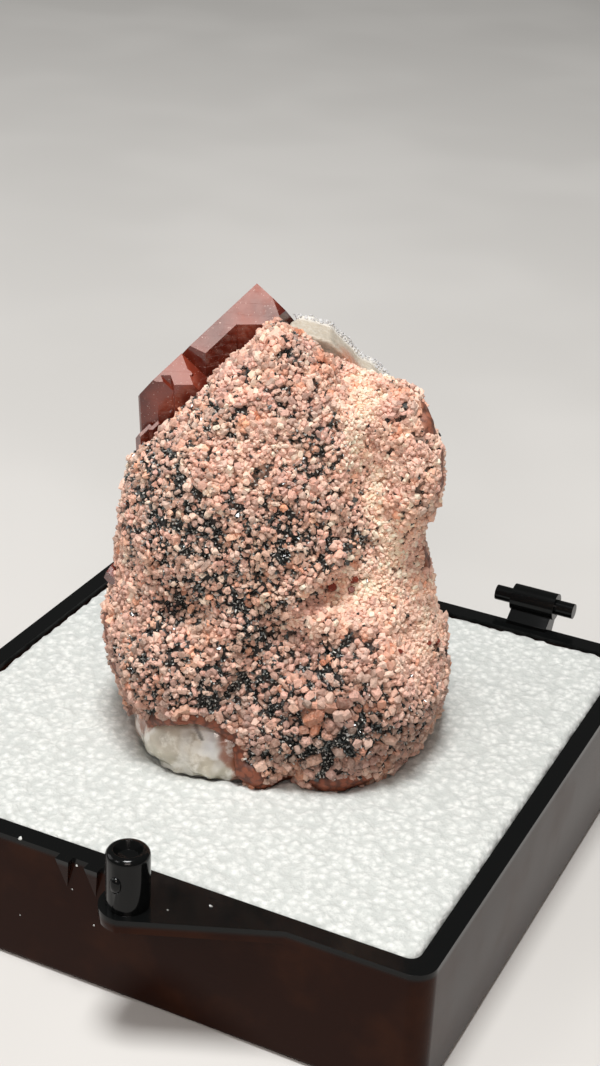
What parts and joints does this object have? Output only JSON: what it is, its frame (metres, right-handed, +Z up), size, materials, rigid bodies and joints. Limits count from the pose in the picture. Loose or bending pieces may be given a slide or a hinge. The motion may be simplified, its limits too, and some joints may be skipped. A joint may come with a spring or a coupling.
{
  "type": "mineral specimen in display box",
  "caption": "Upright hematoid quartz: dark red crystals and a pale slab behind a granular pink and black crust, on white foam in the open black base of a small hinged display box",
  "frame": {"origin": "the middle of the box base's flat underside", "axes": "+Z up, -Y toward the latch side of the box, +X to the right seen from the latch side; the specimen faces 25 degrees to the right of -Y"},
  "size_m": [0.057, 0.0652, 0.0544],
  "materials": {
    "crust": "granular, matte, with dark glinting gaps",
    "red_quartz": "glassy, nearly opaque dark red",
    "pale_quartz": "sugary, whitish grey",
    "milky_quartz": "milky, half clear",
    "foam": "soft white foam",
    "black_plastic": "glossy black"
  },
  "bodies": {
    "root": {"crust": "crust", "quartz_crystals": "red_quartz", "pale_quartz": "pale_quartz", "milky_quartz": "milky_quartz", "foam_pad": "foam", "box_base": "black_plastic"}
  },
  "joints": []
}
